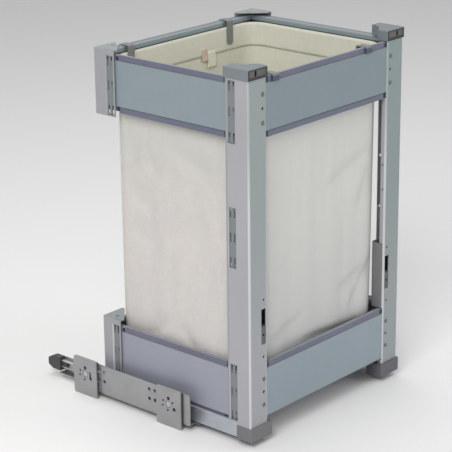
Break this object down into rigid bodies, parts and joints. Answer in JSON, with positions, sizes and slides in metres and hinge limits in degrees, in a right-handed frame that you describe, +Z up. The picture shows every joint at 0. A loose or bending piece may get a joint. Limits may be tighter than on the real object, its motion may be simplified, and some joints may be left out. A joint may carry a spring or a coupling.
{
  "type": "pull-out laundry basket",
  "caption": "Laundry bag in a folded steel frame on telescopic ball-bearing runners, with mounting plates for the side walls of a base cabinet.",
  "frame": {"origin": "on the plane of the mounting plates' lower edges, under the centre of the overall width and length", "axes": "+X to the right as seen from the front, +Y to the rear of the cabinet, +Z up"},
  "size_m": [0.412, 0.451, 0.5885],
  "materials": {
    "panel_coat": "satin powder coat",
    "post_coat": "satin powder coat",
    "grey_plastic": "fine matt texture",
    "dark_plastic": "matt",
    "indigo_trim": "matt",
    "clip_plastic": "matt",
    "cloth": "plain-weave cotton",
    "zinc_plate": "bright zinc plating",
    "bright_steel": "bright",
    "cast_block": "as cast",
    "dark_steel": "satin"
  },
  "bodies": {
    "cabinet_rails": {"left_side_bracket": "zinc_plate", "right_side_bracket": "zinc_plate", "left_fixed_rail": "zinc_plate", "right_fixed_rail": "zinc_plate", "left_front_mounting_plate": "zinc_plate", "right_front_mounting_plate": "zinc_plate", "left_rear_mounting_plate": "zinc_plate", "right_rear_mounting_plate": "zinc_plate", "left_inner_plates": "zinc_plate", "right_inner_plates": "zinc_plate", "left_plate_screws": "bright_steel", "right_plate_screws": "bright_steel", "left_rail_rivets": "bright_steel", "right_rail_rivets": "bright_steel", "left_rail_stop": "dark_plastic", "right_rail_stop": "dark_plastic"},
    "basket": {"base_panel": "post_coat", "front_rivets": "bright_steel", "left_adjuster_housing": "grey_plastic", "left_drawer_rail": "zinc_plate", "left_front_post": "post_coat", "left_key_plate": "dark_plastic", "left_lower_rear_bracket": "post_coat", "left_post_cap": "grey_plastic", "left_post_foot": "grey_plastic", "left_rail_packer": "dark_steel", "left_upper_rear_bracket": "post_coat", "lower_edge_trims": "indigo_trim", "lower_front_panel": "panel_coat", "lower_left_panel": "panel_coat", "lower_rear_panel": "panel_coat", "lower_right_panel": "panel_coat", "rear_rivets": "bright_steel", "right_adjuster_housing": "grey_plastic", "right_drawer_rail": "zinc_plate", "right_front_post": "post_coat", "right_key_plate": "dark_plastic", "right_lower_rear_bracket": "post_coat", "right_post_cap": "grey_plastic", "right_post_foot": "grey_plastic", "right_rail_packer": "dark_steel", "right_upper_rear_bracket": "post_coat", "upper_edge_trims": "indigo_trim", "upper_front_panel": "panel_coat", "upper_left_panel": "panel_coat", "upper_rear_panel": "panel_coat", "upper_right_panel": "panel_coat"},
    "bag_and_clips": {"bag": "cloth", "front_left_clip": "clip_plastic", "front_right_clip": "clip_plastic", "rear_left_clip": "clip_plastic", "rear_right_clip": "clip_plastic"},
    "left_middle_rail_body": {"left_middle_rail": "zinc_plate"},
    "left_outer_cage_body": {"left_outer_ball_cage": "bright_steel"},
    "left_inner_cage_body": {"left_inner_ball_cage": "bright_steel"},
    "left_clamp_body": {"left_front_clamp": "cast_block"},
    "right_middle_rail_body": {"right_middle_rail": "zinc_plate"},
    "right_outer_cage_body": {"right_outer_ball_cage": "bright_steel"},
    "right_inner_cage_body": {"right_inner_ball_cage": "bright_steel"},
    "right_clamp_body": {"right_front_clamp": "cast_block"}
  },
  "joints": [
    {"name": "basket_slide", "type": "slide", "parent": "cabinet_rails", "child": "basket", "axis": [0, -1, 0], "range_m": [-0.05, 0.23]},
    {"name": "left_middle_rail_slide", "type": "slide", "parent": "cabinet_rails", "child": "left_middle_rail_body", "axis": [0, -1, 0], "range_m": [-0.0255, 0.1155]},
    {"name": "left_outer_cage_slide", "type": "slide", "parent": "cabinet_rails", "child": "left_outer_cage_body", "axis": [0, -1, 0], "range_m": [-0.038, 0.173]},
    {"name": "left_inner_cage_slide", "type": "slide", "parent": "cabinet_rails", "child": "left_inner_cage_body", "axis": [0, -1, 0], "range_m": [-0.013, 0.058]},
    {"name": "right_middle_rail_slide", "type": "slide", "parent": "cabinet_rails", "child": "right_middle_rail_body", "axis": [0, -1, 0], "range_m": [-0.0255, 0.1155]},
    {"name": "right_outer_cage_slide", "type": "slide", "parent": "cabinet_rails", "child": "right_outer_cage_body", "axis": [0, -1, 0], "range_m": [-0.038, 0.173]},
    {"name": "right_inner_cage_slide", "type": "slide", "parent": "cabinet_rails", "child": "right_inner_cage_body", "axis": [0, -1, 0], "range_m": [-0.013, 0.058]},
    {"name": "bag_lift", "type": "slide", "parent": "basket", "child": "bag_and_clips", "axis": [0, 0, 1], "range_m": [0, 0.56]},
    {"name": "left_clamp_slide", "type": "slide", "parent": "basket", "child": "left_clamp_body", "axis": [0, 0, 1], "range_m": [0, 0.026]},
    {"name": "right_clamp_slide", "type": "slide", "parent": "basket", "child": "right_clamp_body", "axis": [0, 0, 1], "range_m": [0, 0.026]}
  ],
  "couplings": [
    {"joint": "left_middle_rail_slide", "follows": "basket_slide", "ratio": 0.5},
    {"joint": "left_outer_cage_slide", "follows": "basket_slide", "ratio": 0.75},
    {"joint": "left_inner_cage_slide", "follows": "basket_slide", "ratio": 0.25},
    {"joint": "right_middle_rail_slide", "follows": "basket_slide", "ratio": 0.5},
    {"joint": "right_outer_cage_slide", "follows": "basket_slide", "ratio": 0.75},
    {"joint": "right_inner_cage_slide", "follows": "basket_slide", "ratio": 0.25}
  ]
}
